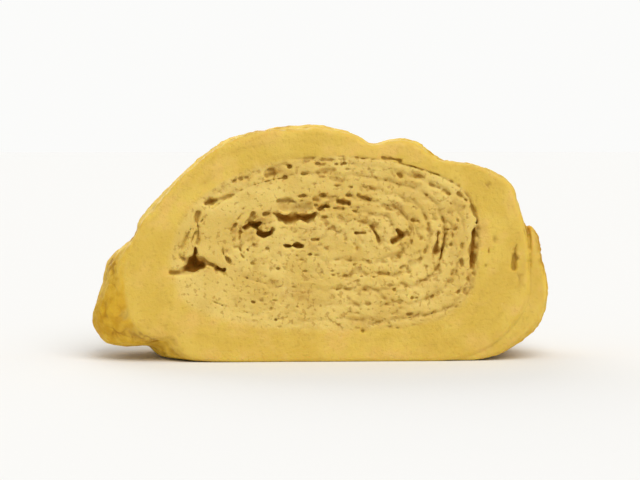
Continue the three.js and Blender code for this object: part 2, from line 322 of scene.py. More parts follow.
def find_places(x, z):
    """For points of a cut face: their share, their turn, and how steeply share and layer rise.

    This is on_face() the other way round, by Newton's method from the nearest known place.
    """
    known_share, known_turn, tree = KNOWN
    nearest = np.array([tree.find((a, b, 0))[1] for a, b in zip(x.tolist(), z.tolist())])
    share = known_share[nearest]
    turn = known_turn[nearest]
    step = 1e-4
    least_area = 1e-3
    for _ in range(NEWTON_ROUNDS):
        here = on_face(share, turn)
        by_share = (on_face(share + step, turn) - here) / step
        by_turn = (on_face(share, turn + step) - here) / step
        miss_x = x - here[:, 0]
        miss_z = z - here[:, 1]
        area = by_share[:, 0] * by_turn[:, 1] - by_share[:, 1] * by_turn[:, 0]
        area = np.where(np.abs(area) < least_area, least_area, area)
        share = share + np.clip((miss_x * by_turn[:, 1] - miss_z * by_turn[:, 0]) / area, -0.1, 0.1)
        turn = turn + np.clip((by_share[:, 0] * miss_z - by_share[:, 1] * miss_x) / area, -0.02, 0.02)
        share = np.maximum(share, 0.005)
    share_slope = np.hypot(by_turn[:, 1], by_turn[:, 0]) / np.abs(area)
    layer_x = by_turn[:, 1] / SHARE_PER_TURN + by_share[:, 1]
    layer_z = -by_turn[:, 0] / SHARE_PER_TURN - by_share[:, 0]
    layer_slope = np.hypot(layer_x, layer_z) / np.abs(area)
    return share, turn % 1.0, share_slope, layer_slope


def apart(a, b):
    """The signed distance in turns from b round to a, from -0.5 to 0.5."""
    return (a - b + 0.5) % 1.0 - 0.5


def bell(distance, wide):
    """1 at no distance, falling smoothly to near 0 at twice this width."""
    return np.exp(-((distance / wide) ** 2))


def smooth_step(value, low, high):
    """0 up to low, 1 from high on, and a smooth rise between them."""
    f = np.clip((value - low) / (high - low), 0, 1)
    return f * f * (3 - 2 * f)


def soft_max(a, b, reach):
    """The larger of two fields, blended where they are closer than reach."""
    h = np.maximum(reach - np.abs(a - b), 0) / reach
    return np.maximum(a, b) + h * h * reach / 4


def layer_number(share, turn):
    """How many layers in a point is: a whole number where one turn of the sheet meets the next."""
    return (share - FIRST_SHARE) / SHARE_PER_TURN - turn


def layer_line(share, turn, layer_slope, offset):
    """The nearest line where layers meet: its signed distance in millimetres and its turn.

    An offset of 0.5 gives the fainter line halfway through each double sheet.
    """
    layer = layer_number(share, turn) - offset
    line = np.maximum(np.round(layer), 0)
    return (layer - line) / layer_slope, line + offset + turn


def from_band(share):
    """0 in the pale crumb and 1 in the golden band round it."""
    return smooth_step(share, 0.5, 0.58)


def looseness(share, turn):
    """1 where the crumb is porous, 0 in the smooth fold on the left and in the outer band."""
    layer = layer_number(share, turn)
    fold = smooth_step(layer, 0.85, 1.15) * smooth_step(turn, 0.24, 0.32)
    fold = fold * (1 - smooth_step(turn, 0.6, 0.7))
    fold = fold * (1 - smooth_step(layer, 1.95, 2.1) * (1 - smooth_step(turn, 0.38, 0.44)))
    return (1 - smooth_step(share, 0.53, 0.57)) * (1 - fold)


def seam_strength(turn):
    """How plainly the seams show: strongly on the right and hardly on the left."""
    return 0.25 + 0.75 * smooth_step(np.cos(2 * np.pi * turn), -0.3, 0.7)


def rim_lift(turn, along):
    """How far the rim stands out from its plain ring. along is -1 at the front, 1 at the back."""
    belly = 1 - np.abs(along) ** BULGE_POWER
    lift = 0
    for c in CREASES:
        lift = lift - c["deep"] * bell(apart(turn, c["at"] + c["drift"] * along), c["wide"])
    for b in BULGES:
        lift = lift + b["high"] * bell(apart(turn, b["at"]), b["wide"]) * belly
    return lift


def sheet_field(body, turn, ragged):
    """The field of the sheet's free end, negative inside it, and the share of the way along it."""
    way = ((turn - FLAP["from"] + FLAP_LEAD) % 1.0 - FLAP_LEAD) / (FLAP["to"] - FLAP["from"])
    loose = smooth_step(way, FLAP["loose"], 1.0)
    full = smooth_step(way, 0.0, FLAP["full"])
    sunk = FLAP["sunk"]
    inner = -sunk + (sunk + FLAP["gap"]) * loose
    outer = -sunk / 2 + (SHEET + sunk / 2) * full + FLAP["gap"] * loose
    outer = outer - FLAP["taper"] * smooth_step(way, FLAP["full"], 1.0)
    across = np.abs(body - (inner + outer) / 2) - (outer - inner) / 2
    ends = np.maximum(way - 1.0, -way) * FLAP_LENGTH + ragged
    return soft_max(across, ends, reach=1.6), way


# ---- noise -----------------------------------------------------------------------------------
def lumps(cell, seed):
    """Smooth noise over the whole grid, from -1 to 1, in lumps of about this size along x, y, z."""
    knots = [int(n * VOXEL / size) + 3 for n, size in zip(GRID_COUNT, cell)]
    field = np.random.default_rng(seed).uniform(-1, 1, knots).astype(np.float32)
    for axis, size in enumerate(cell):
        place = np.arange(GRID_COUNT[axis]) * VOXEL / size
        i = place.astype(int)
        f = (place - i).astype(np.float32)
        f = (f * f * (3 - 2 * f)).reshape([-1 if k == axis else 1 for k in range(3)])
        low = np.take(field, i, axis)
        field = low + (np.take(field, i + 1, axis) - low) * f
    return field


def noise_at(points, cell, seed):
    """Smooth noise at points, from -1 to 1, in lumps of about this size along x, y, z."""
    table = np.random.default_rng(seed).uniform(-1, 1, (64, 64, 64))
    place = points / cell
    base = np.floor(place).astype(int)
    f = place - base
    f = f * f * (3 - 2 * f)
    value = np.zeros(len(points))
    for step in CORNERS:
        value += np.prod(np.where(step, f, 1 - f), axis=1) * table[tuple(((base + step) % 64).T)]
    return value


def lattice_noise(u, v, knots, seed):
    """Smooth noise from -1 to 1 with one lump to each unit of u and v, repeating after knots."""
    table = np.random.default_rng(seed).uniform(-1, 1, knots)
    i, j = np.floor(u).astype(int), np.floor(v).astype(int)
    f, g = u - i, v - j
    f, g = f * f * (3 - 2 * f), g * g * (3 - 2 * g)
    a, b = i % knots[0], j % knots[1]
    c, d = (i + 1) % knots[0], (j + 1) % knots[1]
    low = table[a, b] + (table[c, b] - table[a, b]) * f
    high = table[a, d] + (table[c, d] - table[a, d]) * f
    return low + (high - low) * g


def plane_noise(x, z, size, seed):
    """Noise over a cut face, in round lumps of about this size."""
    turned = seed * 2.4
    u = x * math.cos(turned) + z * math.sin(turned)
    v = z * math.cos(turned) - x * math.sin(turned)
    return lattice_noise(u / size, v / size, (256, 256), seed)


def ring_noise(share, turn, across, around, seed):
    """Noise over a cut face, in lumps drawn out along the layers, this many to a turn."""
    return lattice_noise(share / across, turn * around, (256, around), seed)


def cell_borders(points, size, seed):
    """0 on the borders of irregular cells of about this size that fill space, more inside them."""
    table = np.random.default_rng(seed).uniform(0, 1, (32, 32, 32, 3))
    place = points / size
    base = np.floor(place).astype(int)
    nearest = np.full(len(points), 9.0)
    second = np.full(len(points), 9.0)
    for step in [(i, j, k) for i in (-1, 0, 1) for j in (-1, 0, 1) for k in (-1, 0, 1)]:
        cell = base + step
        centre = cell + table[tuple((cell % 32).T)]
        distance = np.linalg.norm(place - centre, axis=1)
        second = np.minimum(second, np.maximum(nearest, distance))
        nearest = np.minimum(nearest, distance)
    return second - nearest


# ---- the field -------------------------------------------------------------------------------
def smudged(x, z, smudges):
    """1 in the middle of the smudges, 0 away from them."""
    value = np.zeros_like(x)
    for middle_x, middle_z, wide, tall in smudges:
        value = np.maximum(value, bell(np.hypot((x - middle_x) / wide, (z - middle_z) / tall), 1.0))
    return value


def seam_marks(x, z, share, turn, layer_slope, seed):
    """How plainly a seam shows at points of a cut face, and how near they are to one."""
    strength = seam_strength(turn)
    wander = (0.36 - 0.16 * strength) * plane_noise(x, z, 1.3, seed)
    wander = wander + 0.1 * plane_noise(x, z, 0.5, seed + 1)
    breaks = smooth_step(plane_noise(x, z, 1.8, seed + 2) + 0.45 * strength, -0.5, 0.3)
    main = layer_line(share, turn, layer_slope, 0.0)[0] + wander
    half = layer_line(share, turn, layer_slope, 0.5)[0] - wander
    seams = (bell(main, 0.27) + 0.8 * bell(half, 0.24) * strength) * breaks * strength
    beside = (bell(main, 0.6) + 0.8 * bell(half, 0.5)) * strength
    return seams * looseness(share, turn), beside


def cut_surface(x, z, share, turn, layer_slope, front):
    """How far a cut face lies below its plane, and its tone: 1 in brown crumb and seams, and in pits as
    painted shade.
    """
    seed = FRONT_SEED if front else BACK_SEED
    loose = looseness(share, turn)
    strength = seam_strength(turn)
    smudge = smudged(x, z, FRONT_SMUDGES if front else BACK_SMUDGES)
    seams, beside = seam_marks(x, z, share, turn, layer_slope, seed)
    grain = 0.6 * ring_noise(share, turn, 0.021, 72, seed + 3) + 0.5 * plane_noise(x, z, 0.6, seed + 4)
    rough = smooth_step(plane_noise(x, z, 3.5, seed + 5), -0.5, 0.5)
    pits = smooth_step(grain + 0.3 * beside + 0.4 * smudge - 0.25, 0.1, 0.5) * (0.4 + 0.6 * rough)
    pits = pits * np.maximum(loose, smudge)
    fine = plane_noise(x, z, 0.5, seed + 6) + 0.6 * plane_noise(x, z, 0.28, seed + 7)
    waves = plane_noise(x, z, 6.0, seed + 8) + 0.35 * plane_noise(x, z, 2.2, seed + 9)
    relief = RELIEF["waves"] * waves + RELIEF["pits"] * pits
    relief = relief + (RELIEF["band"] + RELIEF["crumb"] * loose) * fine + RELIEF["seams"] * seams

    mottle = smooth_step(plane_noise(x, z, 1.5, seed + 10) + 0.6 * grain, -0.1, 0.9)
    streak = smooth_step(ring_noise(share, turn, 0.05, 24, seed + 11) + 0.4 * grain, 0.0, 0.9)
    strands = smooth_step(ring_noise(share, turn, 0.028, 36, seed + 12), 0.0, 0.8) * from_band(share)
    even = 1 - 0.5 * strength
    # The pits' share of the tone is painted shade in them.
    tone = TONE["mottle"] * mottle * loose * even + TONE["pits"] * pits + TONE["seams"] * seams
    tone = tone + TONE["beside"] * beside * loose + TONE["smudge"] * smudge * (0.6 + 0.6 * grain)
    tone = tone + TONE["streak"] * streak * even + TONE["strands"] * strands * strength
    return relief, np.clip(tone, 0, 1)


def gap_field(gaps, line_distance, line_turn, depth, closed):
    """Negative in the gaps where layers have come apart near a cut.

    closed is the width away from the gaps, below 0 because the layers touch there.
    """
    wide = closed + np.zeros_like(line_turn)
    deep = np.ones_like(line_turn)
    for g in gaps:
        inside = np.minimum(line_turn - g["from"], g["to"] - line_turn)
        opened = smooth_step(inside, -GAP_FADE, GAP_FADE)
        deep = np.where(opened > 0, g["deep"], deep)
        wide = wide + (g["wide"] - wide) * opened
    closing = np.clip(depth / deep, 0, 2) ** 2
    open_width = wide * np.maximum(1 - closing, 0) - GAP_CLOSED * closing
    return np.abs(line_distance) - open_width / 2


def grid_window(low, high):
    """The slices of the grid between two corners in millimetres, and its x, y and z there."""
    start = np.maximum(((np.array(low) - GRID_LOW) / VOXEL).astype(int), 0)
    stop = np.minimum(((np.array(high) - GRID_LOW) / VOXEL).astype(int) + 2, GRID_COUNT)
    part = tuple(slice(a, b) for a, b in zip(start, stop))
    x = GRID_X[part[0]].reshape(-1, 1, 1)
    y = GRID_Y[part[1]].reshape(1, -1, 1)
    z = GRID_Z[part[2]].reshape(1, 1, -1)
    return part, x, y, z


def below_cut(x, y, front):
    """How far inside the slice a place is from the plane of its front or its back cut."""
    return y - FRONT_CUT if front else THICKNESS / 2 + WEDGE * x - y


def from_line(x, z, start, end):
    """The distance from one part of a hole's line, which gets wider or narrower on its way."""
    (x0, z0, r0), (x1, z1, r1) = start, end
    run = (x1 - x0) ** 2 + (z1 - z0) ** 2
    t = np.clip(((x - x0) * (x1 - x0) + (z - z0) * (z1 - z0)) / run, 0, 1)
    return np.hypot(x - x0 - t * (x1 - x0), z - z0 - t * (z1 - z0)) - (r0 + t * (r1 - r0))


def carve_hole(field, frayed, deep, line, front):
    """Cut one hole into the field, narrower the deeper it goes."""
    places = np.array(line)
    widest = places[:, 2].max()
    margin = widest + HOLE_MARGIN
    x_low, z_low = places[:, :2].min(0) - margin
    x_high, z_high = places[:, :2].max(0) + margin
    y_low = GRID_LOW[1] if front else THICKNESS / 2 - HOLE_REACH * deep
    y_high = FRONT_CUT + HOLE_REACH * deep if front else GRID_HIGH[1]
    part, x, y, z = grid_window((x_low, y_low, z_low), (x_high, y_high, z_high))
    outline = np.min([from_line(x, z, a, b) for a, b in zip(line, line[1:])], axis=0)
    depth = np.clip(below_cut(x, y, front) / deep, 0, HOLE_REACH)
    hole = outline + widest * depth**3 + frayed[part]
    field[part] = soft_max(field[part], -hole, reach=0.25)


def carve_pores(field, frayed, rng, front):
    """Cut small rounded pores into one cut, most of them along the seams of the layers."""
    turn = rng.uniform(*PORE_TURNS, PORES_TRIED)
    seam = rng.choice([0.0, 0.5], PORES_TRIED) + rng.normal(0, 0.07, PORES_TRIED)
    share = FIRST_SHARE + SHARE_PER_TURN * (turn + seam)
    chance = looseness(share, turn % 1.0) * (0.35 + 0.65 * seam_strength(turn))
    kept = (rng.uniform(0, 1, PORES_TRIED) < chance) & (share > 0.03)
    turn, share = turn[kept], share[kept]
    place = on_face(share, turn)
    ahead = on_face(share, turn + 0.002) - place
    ahead /= np.hypot(ahead[:, 0], ahead[:, 1])[:, None]
    radius = PORE_RADIUS + PORE_RADIUS_MORE * rng.uniform(0, 1, len(turn)) ** 3
    stretch = rng.uniform(1.0, 2.4, len(turn))
    sunk = rng.uniform(-0.2, 0.6, len(turn)) * radius
    for (x0, z0), (ahead_x, ahead_z), r, longer, below in zip(place, ahead, radius, stretch, sunk):
        y0 = FRONT_CUT + below if front else THICKNESS / 2 + WEDGE * x0 - below
        middle = np.array([x0, y0, z0])
        reach = r * longer + 2 * VOXEL
        part, x, y, z = grid_window(middle - reach, middle + reach)
        along = ((x - x0) * ahead_x + (z - z0) * ahead_z) / longer
        across = (z - z0) * ahead_x - (x - x0) * ahead_z
        inwards = (y - y0) / PORE_DEEPER
        pore = np.sqrt(along**2 + across**2 + inwards**2) - r + 0.5 * frayed[part]
        field[part] = soft_max(field[part], -pore, reach=0.1)


def whole_plane(flat):
    """A map of the x-z plane, ready to be used with the whole grid."""
    return flat.reshape(len(GRID_X), 1, len(GRID_Z)).astype(np.float32)


def roll_fields(share, turn, share_slope, y):
    """The field of the roll with the sides of its flap trimmed, and without."""
    along = np.clip(y / (THICKNESS / 2), -1, 1)
    body = np.clip((share - 1) / share_slope, -8, 12) - rim_lift(turn, along)
    ragged = lumps((30, 3.4, 30), seed=22) * smooth_step(y, FRONT_CUT, FRONT_CUT + 4)
    sheet, way = sheet_field(body, turn, ragged)
    front = FRONT_CUT + FLAP["front"] + FLAP["set_back"] * np.clip(way, 0, 1)
    sides = np.maximum(front - y, y - THICKNESS / 2 + FLAP["back"])
    flap = soft_max(sheet, sides, reach=CUT_EDGE)
    waves = 0.25 * (lumps((6, 5, 6), seed=13) + 0.5 * lumps((2.6, 3.2, 2.6), seed=15))
    trimmed = (np.minimum(body, flap) - waves).astype(np.float32)
    whole = (np.minimum(body, sheet) - waves).astype(np.float32)
    return trimmed, whole


def slice_field():
    """The field of the slice over the grid, and that of the uncut roll."""
    x, z = (a.ravel() for a in np.meshgrid(GRID_X, GRID_Z, indexing="ij"))
    share, turn, share_slope, layer_slope = find_places(x, z)
    y = GRID_Y.reshape(1, -1, 1).astype(np.float32)
    trimmed, whole = roll_fields(whole_plane(share), whole_plane(turn), whole_plane(share_slope), y)

    places = (x, z, share, turn, layer_slope)
    front_depth = below_cut(0, y, True) - whole_plane(cut_surface(*places, True)[0])
    back_depth = below_cut(whole_plane(x), y, False) - whole_plane(cut_surface(*places, False)[0])
    field = soft_max(trimmed, -np.minimum(front_depth, back_depth), reach=CUT_EDGE)

    frayed = 0.22 * lumps((0.8, 1.3, 0.8), seed=31) + 0.14 * lumps((0.4, 0.6, 0.4), seed=32)
    distance, line = layer_line(share, turn, layer_slope, 0.0)
    distance, line = whole_plane(distance), whole_plane(line)
    closed = -0.1 - 0.5 * whole_plane(smooth_step(share, 0.54, 0.6))
    gaps = gap_field(FRONT_GAPS, distance, line, front_depth, closed)
    gaps = np.minimum(gaps, gap_field(BACK_GAPS, distance, line, back_depth, closed))
    field = soft_max(field, -(gaps + 0.6 * frayed), reach=0.2).astype(np.float32)
    rng = np.random.default_rng(41)
    for front, holes in ((True, FRONT_HOLES), (False, BACK_HOLES)):
        for deep, hole_line in holes:
            carve_hole(field, frayed, deep, hole_line, front)
        carve_pores(field, frayed, rng, front)
    below_table = -GRID_Z.reshape(1, 1, -1).astype(np.float32)
    return soft_max(field, below_table, reach=FOOT_EDGE), whole


def averaged(field, reach):
    """A field averaged over a cube that goes this far, in millimetres, each way."""
    n = max(int(round(reach / VOXEL)), 1)
    for axis in range(3):
        size = field.shape[axis]
        edges = [(n + 1, n) if k == axis else (0, 0) for k in range(3)]
        total = np.cumsum(np.pad(field, edges, mode="edge"), axis, dtype=np.float32)
        ahead = np.take(total, range(2 * n + 1, 2 * n + 1 + size), axis)
        field = (ahead - np.take(total, range(size), axis)) / (2 * n + 1)
    return field


def sample(field, points):
    """A field's values at points, blended from the eight grid points round each."""
    place = (points - GRID_LOW) / VOXEL
    corner = np.floor(place).astype(int)
    f = place - corner
    value = np.zeros(len(points))
    for step in CORNERS:
        weight = np.prod(np.where(step, f, 1 - f), axis=1)
        value += weight * field[tuple((corner + step).T)]
    return value


# ---- the mesh --------------------------------------------------------------------------------
def without_pinches(field):
    """Fill the spots where the egg touches itself along one grid line, so its surface is closed."""
    for _ in range(PINCH_ROUNDS):
        for plane in (0, 1), (0, 2), (1, 2):
            corners = [[slice(None)] * 3 for _ in range(4)]
            for corner, (a, b) in zip(corners, ((0, 0), (1, 1), (1, 0), (0, 1))):
                corner[plane[0]] = slice(a, field.shape[plane[0]] - 1 + a)
                corner[plane[1]] = slice(b, field.shape[plane[1]] - 1 + b)
            views = [field[tuple(corner)] for corner in corners]
            inside = [view < 0 for view in views]
            pinched = (inside[0] == inside[1]) & (inside[2] == inside[3]) & (inside[0] != inside[2])
            for view in views:
                view[pinched] = np.minimum(view[pinched], -PINCH_FILL)
    return field


def largest_part(points, quads):
    """The largest connected part of a surface, without its specks and its closed pores."""
    label = np.arange(len(points))
    before = np.zeros_like(label)
    while not np.array_equal(label, before):
        before = label.copy()
        np.minimum.at(label, quads.ravel(), np.repeat(label[quads].min(axis=1), 4))
        label = label[label]
    of_quad = label[quads[:, 0]]
    kept = of_quad == np.bincount(of_quad).argmax()
    used, quads = np.unique(quads[kept], return_inverse=True)
    return points[used], quads.reshape(-1, 4)


def surface_points(field, cells):
    """One point in each of these cells: the middle of where the zero surface cuts its edges."""
    total = np.zeros((len(cells), 3))
    hits = np.zeros(len(cells))
    for a in CORNERS:
        for axis in range(3):
            if a[axis] == 1:
                continue
            b = tuple(1 if n == axis else a[n] for n in range(3))
            value_a = field[tuple((cells + a).T)]
            value_b = field[tuple((cells + b).T)]
            cuts = (value_a < 0) != (value_b < 0)
            place = np.tile(np.array(a, float), (np.count_nonzero(cuts), 1))
            place[:, axis] = value_a[cuts] / (value_a[cuts] - value_b[cuts])
            total[cuts] += place
            hits[cuts] += 1
    return GRID_LOW + VOXEL * (cells + total / hits[:, None])


def zero_surface(field):
    """The points and quads of a field's zero surface, with one point in each cell it crosses."""
    inside = field < 0
    shape = tuple(n - 1 for n in field.shape)
    count = np.zeros(shape, np.uint8)
    for i, j, k in CORNERS:
        count += inside[i : i + shape[0], j : j + shape[1], k : k + shape[2]]
    crossed = (count > 0) & (count < 8)
    cells = np.argwhere(crossed)
    number = np.full(shape, -1, np.int32)
    number[crossed] = np.arange(len(cells))
    quads = []
    for axis in range(3):
        others = ((axis + 1) % 3, (axis + 2) % 3)
        low = [slice(1, n) for n in shape]
        high = list(low)
        low[axis] = slice(0, shape[axis])
        high[axis] = slice(1, shape[axis] + 1)
        here, there = inside[tuple(low)], inside[tuple(high)]
        for turned, edges in ((False, here & ~there), (True, there & ~here)):
            at = np.argwhere(edges) + [0 if n == axis else 1 for n in range(3)]
            around = []
            for back in ((1, 1), (0, 1), (0, 0), (1, 0)):
                cell = at.copy()
                cell[:, others] -= back
                around.append(number[tuple(cell.T)])
            quad = np.stack(around, -1)
            quads.append(quad[:, ::-1] if turned else quad)
    return largest_part(surface_points(field, cells), np.concatenate(quads))


def make_mesh(points, quads):
    """A Blender mesh of these points, in millimetres, and quads."""
    mesh = bpy.data.meshes.new(PIECE)
    mesh.vertices.add(len(points))
    mesh.vertices.foreach_set("co", points.astype(np.float32).ravel())
    mesh.loops.add(quads.size)
    mesh.loops.foreach_set("vertex_index", quads.astype(np.int32).ravel())
    mesh.polygons.add(len(quads))
    mesh.polygons.foreach_set("loop_start", np.arange(0, quads.size, 4, dtype=np.int32))
    mesh.update(calc_edges=True)
    return mesh


def read_points(mesh, what="co"):
    """The points of a mesh, or their normals, as rows of three numbers."""
    values = np.zeros(len(mesh.vertices) * 3, np.float32)
    mesh.vertices.foreach_get(what, values)
    return values.reshape(-1, 3).astype(float)


def skin_marks(points):
    """The fried skin's brown net and how fried it is, from 0 to 1 each."""
    patches = noise_at(points, (7, 5, 7), 14) + 0.8 * noise_at(points, (3, 2.4, 3), 15)
    patches = patches + 0.5 * noise_at(points, (1.2, 1, 1.2), 16)
    fried = smooth_step(patches, 0.0, 1.1)
    warp = np.stack([noise_at(points, (1.3, 1.3, 1.3), seed) for seed in (17, 18, 19)], -1)
    coarse = 1 - smooth_step(cell_borders(points + 0.9 * warp, 2.4, 61), 0.0, 0.3)
    fine = 1 - smooth_step(cell_borders(points - 0.6 * warp, 1.25, 62), 0.0, 0.45)
    wrinkles = bell(noise_at(points + warp, (1.6, 6, 1.6), 23), 0.09)
    net = fine * (0.08 + 0.92 * fried) + coarse * (0.1 + 0.5 * fried) + 0.35 * wrinkles
    return np.clip(net, 0, 1), fried


def skin_mask(points, roll):
    """1 on the fried outside of the roll and 0 on its cuts."""
    depth = np.minimum(-sample(roll, points), points[:, 2])
    return 1 - smooth_step(depth, 0.12, 0.45)


def wrinkle_skin(mesh, roll):
    """Press the brown net into the skin, and raise small blisters on it."""
    points = read_points(mesh)
    net, _ = skin_marks(points)
    blisters = noise_at(points, (1.2, 1, 1.2), 20) + 0.6 * noise_at(points, (0.6, 0.5, 0.6), 21)
    off_table = smooth_step(points[:, 2], 0.1, 0.8)
    sunk = (NET_DEEP * net - BLISTERS_HIGH * blisters) * skin_mask(points, roll) * off_table
    moved = points - read_points(mesh, "normal") * sunk[:, None]
    mesh.vertices.foreach_set("co", moved.astype(np.float32).ravel())
    mesh.update()


def thinned(obj):
    """The object's mesh with no more than MOST_TRIANGLES, fewest where it is flat."""
    fewer = obj.modifiers.new("fewer", "DECIMATE")
    fewer.ratio = min(MOST_TRIANGLES / (2 * len(obj.data.polygons)), 1.0)
    mesh = bpy.data.meshes.new_from_object(obj.evaluated_get(bpy.context.evaluated_depsgraph_get()))
    obj.modifiers.clear()
    return mesh


def store(mesh, name, values):
    """Keep one number for each point on the mesh, under a name that the material reads."""
    values = np.ascontiguousarray(values, dtype=np.float32)
    mesh.attributes.new(name, "FLOAT", "POINT").data.foreach_set("value", values)


def store_places(mesh, field, roll):
    """Store where each point lies in the roll, for the material."""
    points = read_points(mesh)
    x, y, z = points.T
    share, turn, _, layer_slope = find_places(x, z)
    solid = np.clip(0.5 - field / VOXEL, 0, 1)
    tones = [cut_surface(x, z, share, turn, layer_slope, front)[1] for front in (True, False)]
    depth = np.minimum(below_cut(x, y, True), below_cut(x, y, False))
    in_fold = bell(apart(turn, FOLD_TURN), FOLD_WIDE)
    on_flap = smooth_step(share, 1.04, 1.1) * bell(apart(turn, 0.0), FLAP_WIDE)
    net, fried = skin_marks(points)
    store(mesh, "skin", skin_mask(points, roll))
    store(mesh, "band", from_band(share))
    store(mesh, "tone", np.where(y < 0, *tones))
    # How far below its cut a point lies: it sets painted shade deep in holes and gaps, and the roughness
    # there.
    store(mesh, "deep", depth)
    store(mesh, "edge", (1 - smooth_step(depth, 0.3, 1.5)) * (1 - in_fold))
    # How enclosed each point is within 0.35 mm: the material uses it to paint shade into small hollows.
    store(mesh, "hollow_shade", sample(averaged(solid, 0.35), points))
    # How enclosed each point is within 1.5 mm: the material uses it to paint shade into creases and narrow
    # gaps.
    store(mesh, "crease_shade", sample(averaged(solid, 1.5), points))
    store(mesh, "net", net)
    folded = np.maximum(in_fold, on_flap * smooth_step(depth, 0.5, 3.0))
    store(mesh, "fried", np.maximum(fried, folded))


def place_in_cad_box(mesh):
    """From the roll's own millimetres to the CAD model's place, in metres."""
    points = read_points(mesh)
    low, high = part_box(NODE)
    middle = (points[:, 0].min() + points[:, 0].max()) / 2
    offset = [(low.x + high.x) / 2 - middle * MM, low.y - FRONT_CUT * MM, low.z]
    mesh.vertices.foreach_set("co", (points * MM + offset).astype(np.float32).ravel())
    mesh.update()


def make_slice():
    """The slice as one closed mesh, in its place in the CAD box, without its material."""
    field, roll = slice_field()
    fine = make_mesh(*zero_surface(without_pinches(field)))
    wrinkle_skin(fine, roll)
    egg = bpy.data.objects.new(PIECE, fine)
    bpy.context.scene.collection.objects.link(egg)
    egg.data = thinned(egg)
    bpy.data.meshes.remove(fine)
    egg.data.name = PIECE
    egg.data.shade_smooth()
    store_places(egg.data, field, roll)
    place_in_cad_box(egg.data)
    return egg


# ---- the material ----------------------------------------------------------------------------
# Colours of the egg as linear red, green and blue. A pair is two tones of one colour. Glow is the
# light that goes into the egg and comes out beside, and its reach is for red, green and blue.
PALE_CRUMB = (0.69, 0.485, 0.115), (0.765, 0.57, 0.16)
GOLDEN_BAND = (0.68, 0.465, 0.072)
WARM_BAND = (0.735, 0.525, 0.095), (0.76, 0.51, 0.12)
# brown crumb colour, also used as painted shade in its pits
BROWN_CRUMB_AND_PIT_SHADE = (0.47, 0.26, 0.045)
# painted shade in the pinholes
PINHOLE_SHADE = (0.42, 0.22, 0.03)
# painted shade in small hollows of the crumb
HOLLOW_SHADE_CRUMB = (0.42, 0.22, 0.02)
# painted shade deep in holes and gaps of the crumb
DEEP_SHADE_CRUMB = (0.33, 0.135, 0.002)
LIGHT_SKIN = (0.85, 0.58, 0.07), (0.71, 0.43, 0.024)
BROWN_SKIN = (0.66, 0.385, 0.013), (0.55, 0.285, 0.004)
NET = (0.44, 0.21, 0.002)
# painted shade in creases and narrow gaps of the skin
CREASE_SHADE = (0.48, 0.24, 0.005)
# painted shade in small hollows of the skin
HOLLOW_SHADE_SKIN = (0.4, 0.19, 0.01)
SKIN_BY_CUT = (0.735, 0.515, 0.088), (0.69, 0.46, 0.068)
SHINE = 0.25
GLOW = 0.5
GLOW_REACH = (1.0, 0.6, 0.2)
GLOW_SIZE = 0.8 * MM
BUMP_HEIGHT = 0.25 * MM


class Nodes:
    """Short ways to add the nodes of one material."""

    def __init__(self, material):
        self.tree = material.node_tree

    def add(self, kind, inputs, **settings):
        node = self.tree.nodes.new("ShaderNode" + kind)
        for name, value in settings.items():
            setattr(node, name, value)
        for key, value in inputs.items():
            self.give(node.inputs[key], value)
        return node

    def give(self, socket, value):
        """Link another node's output to a socket, or set the socket's own value."""
        if isinstance(value, bpy.types.NodeSocket):
            self.tree.links.new(value, socket)
        else:
            socket.default_value = value

    def stored(self, name):
        return self.add("Attribute", {}, attribute_name=name).outputs["Fac"]

    def times(self, a, b):
        return self.add("Math", {0: a, 1: b}, operation="MULTIPLY").outputs[0]

    def plus(self, a, b):
        return self.add("Math", {0: a, 1: b}, operation="ADD").outputs[0]

    def spread(self, value, low, high, out_low=0.0, out_high=1.0):
        """A value carried from one range to another, with soft ends."""
        sockets = {"Value": value, "From Min": low, "From Max": high}
        sockets |= {"To Min": out_low, "To Max": out_high}
        return self.add("MapRange", sockets, interpolation_type="SMOOTHSTEP").outputs["Result"]

    def noise(self, size, detail, offset):
        """Noise from 0 to 1 in lumps of about this size, moved by offset, both in millimetres."""
        place = self.add("TexCoord", {}).outputs["Object"]
        moved = self.add("VectorMath", {0: place, 1: (offset * MM, 0, 0)}, operation="ADD").outputs[0]
        sockets = {"Vector": moved, "Scale": 1 / (size * MM), "Detail": detail}
        return self.add("TexNoise", sockets).outputs["Fac"]

    def blend(self, share, a, b):
        """From colour a to colour b, each another node's output or red, green and blue."""
        node = self.add("Mix", {}, data_type="RGBA")
        self.give(node.inputs["Factor"], share)
        sockets = [socket for socket in node.inputs if socket.type == "RGBA"]
        for socket, colour in zip(sockets, (a, b)):
            self.give(socket, (*colour, 1) if isinstance(colour, tuple) else colour)
        return next(socket for socket in node.outputs if socket.type == "RGBA")


def crumb_colour(n, fine, pinholes, hollow_shade):
    """The cut egg: pale inside, golden in the outer band, browner where porous, with painted shade in its
    pits, pinholes, hollows and depths.
    """
    patch = n.spread(n.noise(4.0, 2.0, 0), 0.35, 0.65)
    pale = n.blend(patch, *PALE_CRUMB)
    warm = n.spread(n.noise(2.6, 2.0, 230), 0.4, 0.62)
    golden = n.blend(patch, GOLDEN_BAND, n.blend(warm, *WARM_BAND))
    crumb = n.blend(n.stored("band"), pale, golden)
    # Brown crumb, with painted shade where the tone marks pits.
    tint = n.times(n.stored("tone"), n.spread(fine, 0.0, 1.0, 0.5, 1.0))
    crumb = n.blend(tint, crumb, BROWN_CRUMB_AND_PIT_SHADE)
    # Painted shade in the pinholes.
    crumb = n.blend(n.times(pinholes, 0.5), crumb, PINHOLE_SHADE)
    # Painted shade in small hollows.
    crumb = n.blend(n.times(hollow_shade, 0.6), crumb, HOLLOW_SHADE_CRUMB)
    # Painted shade: darker the deeper a point lies below its cut.
    deep = n.spread(n.stored("deep"), 0.25, 1.3)
    return n.blend(n.times(deep, 0.93), crumb, DEEP_SHADE_CRUMB)


